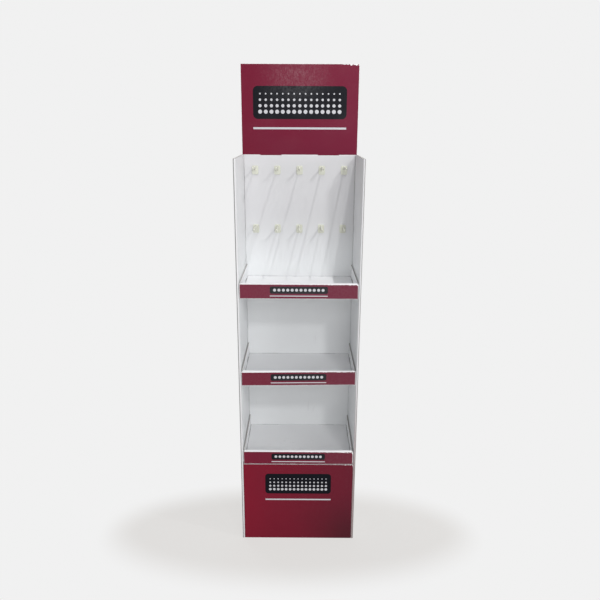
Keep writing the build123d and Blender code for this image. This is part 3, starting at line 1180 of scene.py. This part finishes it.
@dataclass
class Studio:
    """Pale floor, soft light and the camera."""

    pale: Colour = (0.879, 0.879, 0.879)
    shade: Colour = (0.73, 0.716, 0.701)
    fill: Colour = (0.39, 0.39, 0.395)
    floor_radius: float = 30.0
    floor_sides: int = 96
    pool_middle: tuple[float, float] = (-0.028, -0.105)
    pool_reach: tuple[float, float] = (0.634, 0.246)
    pool_fade: float = 0.17
    pool_painted_share: float = 0.88
    pool_white: Colour = (0.92, 0.91, 0.90)
    eye: Place = (0.0079, -1.9539, 1.4385)
    yaw: float = -0.125
    pitch: float = 16.429
    roll: float = 0.252
    sensor: float = 36.0
    focal_pixels: float = 588.75
    picture_pixels: float = 600.0
    lamps: Sequence[Lamp] = (
        Lamp("ceiling_lamp", place=(0.45, -0.38, 2.90), size=0.02, power=14.0, aim=(0.0, 0.0, 1.0)),
        Lamp("window_lamp", place=(1.00, -2.45, 2.42), size=0.22, power=18.0, aim=(0.0, 0.0, 0.9)),
        Lamp("front_softbox", place=(0.25, -3.20, 1.80), size=1.4, power=26.0),
        Lamp("right_softbox", place=(2.40, -1.70, 1.30), size=1.0, power=23.0),
        Lamp("rear_softbox", place=(-1.90, 2.40, 2.10), size=1.4, power=34.0),
    )

    def build(self) -> None:
        """Builds the whole stage."""
        bpy.context.scene.view_settings.view_transform = "Standard"
        for lamp in self.lamps:
            lamp.build()
        self.build_world()
        self.build_floor()
        self.build_camera()

    @staticmethod
    def seen(graph: Graph) -> Value:
        """Mask of the rays that show the background: camera, glossy and transmission rays.

        Args:
            graph: graph of the floor or the world.

        Returns:
            The mask.
        """
        node = graph.add("ShaderNodeLightPath", {}, {})
        kinds = ("Is Camera Ray", "Is Glossy Ray", "Is Transmission Ray")
        camera, glossy, through = (Value(graph, node.outputs[kind]) for kind in kinds)
        return camera.most(glossy).most(through)

    def build_world(self) -> None:
        """Even fill light, seen as the pale background."""
        world = bpy.data.worlds.new("studio")
        bpy.context.scene.world = world
        graph = Graph(world)
        colour = graph.mix(self.seen(graph), self.fill, self.pale)
        sky = graph.value("ShaderNodeBackground", {}, {"Color": colour, "Strength": 1.0})
        graph.add("ShaderNodeOutputWorld", {}, {"Surface": sky})

    def floor_material(self) -> bpy.types.Material:
        """Lit floor in an oval pool of shade under the stand, fading to the background's tone.

        The pool's mask is a smooth step of the distance to an oval with half axes a and b. That is about
        k (k - 1) over the length of (x / a^2, y / b^2), where k is the length of (x / a, y / b).

        Returns:
            The material.
        """
        graph = Graph.material("pale_floor")
        wide, deep = self.pool_reach
        aside = (graph.at.x - self.pool_middle[0]) / wide
        ahead = (graph.at.y - self.pool_middle[1]) / deep
        share = aside.hypot(ahead)
        slope = (aside / wide).hypot(ahead / deep)
        beyond = (share * (share - 1.0) / slope).above(0.0, self.pool_fade)
        tone = graph.mix(beyond, self.shade, self.pale)
        lit = graph.value("ShaderNodeBsdfDiffuse", {}, {"Color": self.pool_white})
        glow = graph.value("ShaderNodeEmission", {}, {"Color": tone, "Strength": 1.0})
        painted = self.pool_painted_share + (1.0 - self.pool_painted_share) * beyond
        surface = graph.value("ShaderNodeMixShader", {}, {0: painted * self.seen(graph), 1: lit, 2: glow})
        graph.add("ShaderNodeOutputMaterial", {}, {"Surface": surface})
        return graph.owner

    def build_floor(self) -> None:
        """A wide flat disc under the stand."""
        turn = np.linspace(0.0, TURN, self.floor_sides, endpoint=False)
        rim = np.stack([np.cos(turn), np.sin(turn), np.zeros_like(turn)], axis=1) * self.floor_radius
        mesh = bpy.data.meshes.new("studio_floor")
        mesh.from_pydata(rim, [], [np.arange(len(rim))])
        mesh.materials.append(self.floor_material())
        floor = placed("studio_floor", mesh)

    def build_camera(self) -> None:
        """Camera at the photograph's viewpoint, from its heading angles in degrees."""
        yaw, pitch, roll = (math.radians(angle) for angle in (self.yaw, self.pitch, self.roll))
        level = Vector((math.cos(yaw), -math.sin(yaw), 0.0))
        flat = Vector((math.sin(yaw), math.cos(yaw), 0.0))
        ahead = flat * math.cos(pitch) - Vector((0.0, 0.0, math.sin(pitch)))
        upright = level.cross(ahead)
        right = level * math.cos(roll) + upright * math.sin(roll)
        up = upright * math.cos(roll) - level * math.sin(roll)
        camera = bpy.data.cameras.new("camera")
        camera.sensor_width = self.sensor
        camera.lens = self.sensor * self.focal_pixels / self.picture_pixels
        viewer = placed("camera", camera)
        turned = Matrix((right, up, -ahead)).transposed().to_4x4()
        viewer.matrix_world = Matrix.Translation(self.eye) @ turned
        bpy.context.scene.camera = viewer


def main() -> None:
    """Dresses the stand, sub-assembly by sub-assembly, and sets the stage."""
    logging.basicConfig(level=logging.INFO, format="%(name)s: %(message)s")
    stock = CardStock()
    bright = replace(stock, white=(0.815, 0.820, 0.832))
    # plinth's cut edges: a grey board core, darkened further as painted shade under the strip
    dull = replace(stock, core=(0.40, 0.37, 0.36), hollow=(0.20, 0.18, 0.18))
    redder = PrintInk(crimson=(0.200, 0.0075, 0.023), shaded_and_blotched=(0.085, 0.0115, 0.0225), side_shade_share=0.8)
    upper = PrintInk(crimson=(0.150, 0.0095, 0.032), shaded_and_blotched=(0.108, 0.0120, 0.0285), varnish=0.68)
    middle = PrintInk(crimson=(0.158, 0.0090, 0.0285), shaded_and_blotched=(0.090, 0.0130, 0.0285), varnish=0.45)
    lower = PrintInk(crimson=(0.172, 0.0090, 0.0285), shaded_and_blotched=(0.084, 0.0118, 0.0255), varnish=0.10)
    Body(stock).dress()
    Header(stock, PrintInk()).dress()
    Tray(Level.UPPER, bright, upper, nick_depth=0.0020, varnish_right=0.05).dress()
    Tray(Level.MIDDLE, bright, middle, nick_depth=0.0022, varnish_right=0.15, lean=0.7).dress()
    Tray(Level.LOWER, bright, lower, nick_depth=0.0034, varnish_right=0.35).dress()
    Plinth(dull, redder).dress()
    HookRows(HookPlastic()).build()
    Studio().build()


if __name__ == "__main__":
    main()
